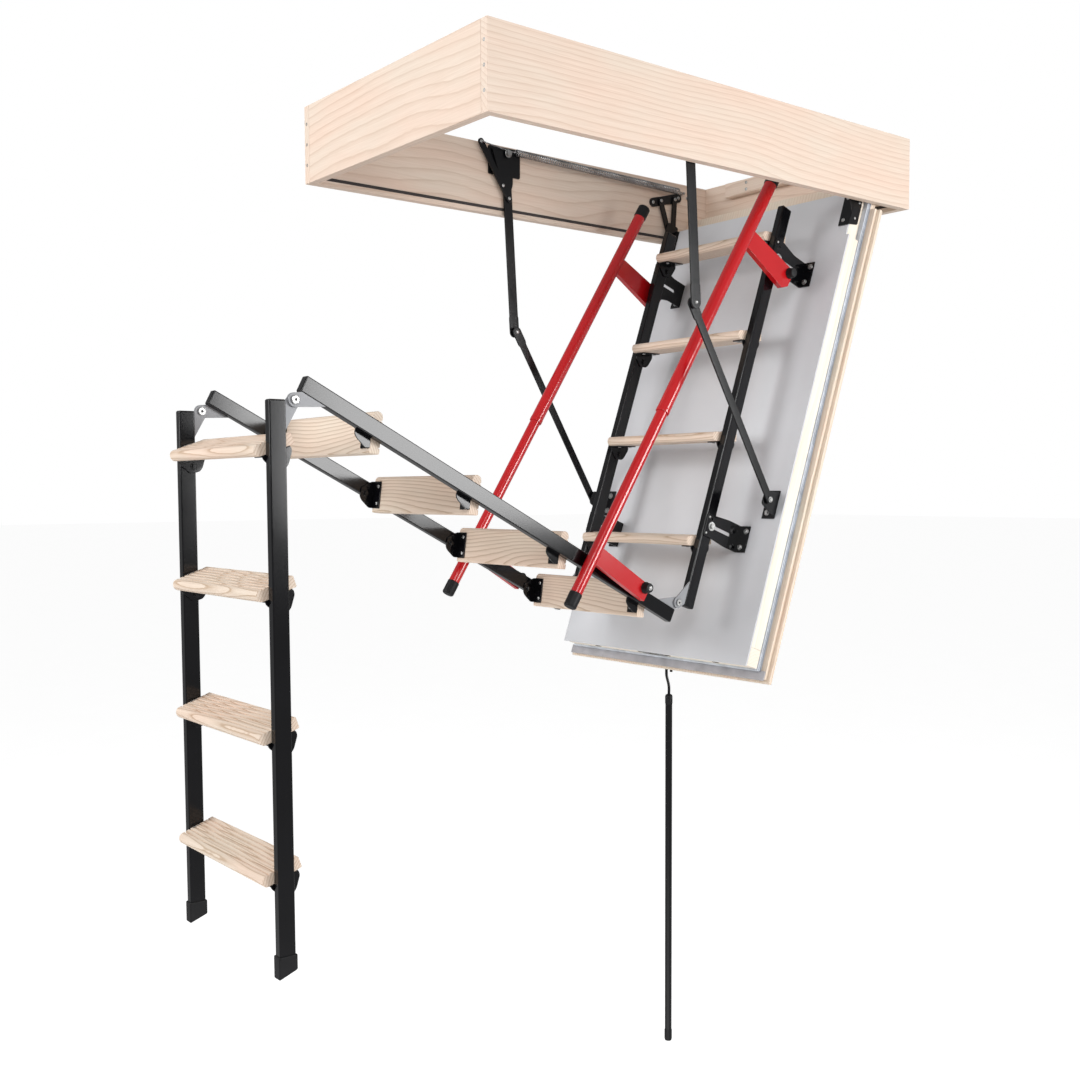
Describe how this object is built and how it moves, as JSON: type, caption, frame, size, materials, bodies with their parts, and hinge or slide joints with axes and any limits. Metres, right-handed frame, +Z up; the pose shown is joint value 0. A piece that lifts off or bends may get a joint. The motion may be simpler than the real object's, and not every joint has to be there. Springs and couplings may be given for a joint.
{
  "type": "attic ladder",
  "caption": "Folding attic ladder with a wooden casing, insulated hatch, hinged ladder sections, telescoping handrails, lazy arms with springs and an operating rod.",
  "frame": {"origin": "centre of the casing's opening, in the plane of its lower edges, which is the ceiling plane", "axes": "+X towards the end with the hatch hinges, +Y towards the far long board, +Z up"},
  "size_m": [1.6786, 0.685, 2.2419],
  "materials": {
    "casing_pine": "sanded, unfinished",
    "panel_grey": "smooth painted board",
    "hatch_pine": "planed",
    "seal_grey": "soft foam strip",
    "outer_pine": "sanded",
    "tread_wood": "sanded, grooved",
    "stile_black": "semi-gloss powder coat",
    "black_rubber": "moulded",
    "rail_red": "gloss powder coat",
    "zinc": "zinc plated",
    "spring_steel": "drawn wire",
    "rod_black": "semi-gloss",
    "bracket_black": "gloss powder coat"
  },
  "bodies": {
    "casing": {"casing_board_near": "casing_pine", "casing_board_far": "casing_pine", "casing_board_free_end": "casing_pine", "casing_board_hinge_end": "casing_pine", "arm_plate_near": "bracket_black", "arm_plate_far": "bracket_black", "hinge_plate_near": "bracket_black", "hinge_plate_far": "bracket_black", "spring_near": "spring_steel", "spring_far": "spring_steel"},
    "hatch": {"hatch_inner_panel": "panel_grey", "hatch_frame": "hatch_pine", "hatch_seal": "seal_grey", "hatch_outer_panel": "outer_pine", "latch_plate": "bracket_black", "arm_bracket_near": "bracket_black", "arm_bracket_far": "bracket_black", "hinge_bracket_near": "bracket_black", "hinge_bracket_far": "bracket_black", "section_1_stile_near": "stile_black", "section_1_stile_far": "stile_black", "section_1_tread_1": "tread_wood", "section_1_tread_2": "tread_wood", "section_1_tread_3": "tread_wood", "section_1_tread_4": "tread_wood"},
    "latch_bolt": {"latch_bolt": "zinc"},
    "rod": {"operating_rod": "rod_black"},
    "hinge_12_pins": {"hinge_12_pin_near": "zinc", "hinge_12_pin_far": "zinc"},
    "section_2": {"section_2_stile_near": "stile_black", "section_2_stile_far": "stile_black", "section_2_tread_1": "tread_wood", "section_2_tread_2": "tread_wood", "section_2_tread_3": "tread_wood", "section_2_tread_4": "tread_wood"},
    "hinge_23_pins": {"hinge_23_pin_near": "zinc", "hinge_23_pin_far": "zinc"},
    "section_3": {"section_3_stile_near": "stile_black", "section_3_stile_far": "stile_black", "section_3_tread_1": "tread_wood", "section_3_tread_2": "tread_wood", "section_3_tread_3": "tread_wood", "section_3_tread_4": "tread_wood", "foot_near": "black_rubber", "foot_far": "black_rubber"},
    "rail_knobs": {"rail_knob_near": "black_rubber", "rail_knob_far": "black_rubber"},
    "rails_upper": {"rail_upper_near": "rail_red", "rail_upper_far": "rail_red"},
    "rail_guides": {"rail_guide_near": "black_rubber", "rail_guide_far": "black_rubber"},
    "rails_lower": {"rail_lower_near": "rail_red", "rail_lower_far": "rail_red"},
    "lazy_arms_upper": {"arm_upper_near": "bracket_black", "arm_upper_far": "bracket_black"},
    "lazy_arms_lower": {"arm_lower_near": "bracket_black", "arm_lower_far": "bracket_black"},
    "hinge_links": {"hinge_link_near": "bracket_black", "hinge_link_far": "bracket_black"}
  },
  "joints": [
    {"name": "hatch_swing", "type": "hinge", "parent": "casing", "child": "hatch", "pos_m": [0.481, 0, -0.011], "axis": [0, 1, 0], "range_deg": [0, 15]},
    {"name": "section_2_fold", "type": "hinge", "parent": "hatch", "child": "hinge_12_pins", "pos_m": [-0.01023, 0, -0.93854], "axis": [0, 1, 0], "range_deg": [0, 82.2]},
    {"name": "section_2_unfold", "type": "hinge", "parent": "hinge_12_pins", "child": "section_2", "pos_m": [-0.01023, 0, -0.93854], "axis": [0, 1, 0], "range_deg": [-97.8, 0]},
    {"name": "section_3_fold", "type": "hinge", "parent": "section_2", "child": "hinge_23_pins", "pos_m": [-0.96338, 0, -0.52423], "axis": [0, 1, 0], "range_deg": [-62.51, 0]},
    {"name": "section_3_unfold", "type": "hinge", "parent": "hinge_23_pins", "child": "section_3", "pos_m": [-0.96338, 0, -0.52423], "axis": [0, 1, 0], "range_deg": [0, 117.51]},
    {"name": "handrail_tilt_fold", "type": "hinge", "parent": "hatch", "child": "rail_knobs", "pos_m": [0.33057, 0, -0.17235], "axis": [0, 1, 0], "range_deg": [-6.34, 0]},
    {"name": "handrail_tilt_unfold", "type": "hinge", "parent": "rail_knobs", "child": "rails_upper", "pos_m": [0.33057, 0, -0.17235], "axis": [0, 1, 0], "range_deg": [-10.95, 0]},
    {"name": "handrail_slide_fold", "type": "slide", "parent": "rails_upper", "child": "rail_guides", "axis": [-0.5443, 0, -0.8389], "range_m": [-0.1565, 0]},
    {"name": "handrail_slide_unfold", "type": "slide", "parent": "rail_guides", "child": "rails_lower", "axis": [-0.5443, 0, -0.8389], "range_m": [0, 0.10716]},
    {"name": "lazy_arm_upper_swing", "type": "hinge", "parent": "casing", "child": "lazy_arms_upper", "pos_m": [-0.097, 0, 0.15], "axis": [0, 1, 0], "range_deg": [0, 32.15], "deforming": ["spring_near", "spring_far"]},
    {"name": "lazy_arm_lower_swing", "type": "hinge", "parent": "hatch", "child": "lazy_arms_lower", "pos_m": [0.17655, 0, -0.70764], "axis": [0, 1, 0], "range_deg": [-24.5, 0]},
    {"name": "hinge_link_swing", "type": "hinge", "parent": "casing", "child": "hinge_links", "pos_m": [0.437, 0, 0.111], "axis": [0, 1, 0], "range_deg": [-8.7, 0]},
    {"name": "latch_bolt_slide", "type": "slide", "parent": "hatch", "child": "latch_bolt", "axis": [-0.3338, 0, -0.9426], "range_m": [0, 0.012]},
    {"name": "rod_swing", "type": "hinge", "parent": "hatch", "child": "rod", "pos_m": [0.15948, 0, -1.11745], "axis": [0, 1, 0], "range_deg": [-25, 25]}
  ],
  "couplings": [
    {"joint": "section_3_fold", "follows": "section_2_fold", "ratio": -0.76034},
    {"joint": "section_3_unfold", "follows": "section_2_unfold", "ratio": -1.2014},
    {"joint": "handrail_tilt_fold", "follows": "section_2_fold", "ratio": -0.077014},
    {"joint": "handrail_tilt_unfold", "follows": "section_2_unfold", "ratio": 0.11183},
    {"joint": "handrail_slide_fold", "follows": "section_2_fold", "m_per_rad": -0.10901},
    {"joint": "handrail_slide_unfold", "follows": "section_2_unfold", "m_per_rad": -0.062722},
    {"joint": "lazy_arm_upper_swing", "follows": "hatch_swing", "ratio": 2.1427},
    {"joint": "lazy_arm_lower_swing", "follows": "hatch_swing", "ratio": -1.6327},
    {"joint": "hinge_link_swing", "follows": "hatch_swing", "ratio": -0.57933}
  ]
}
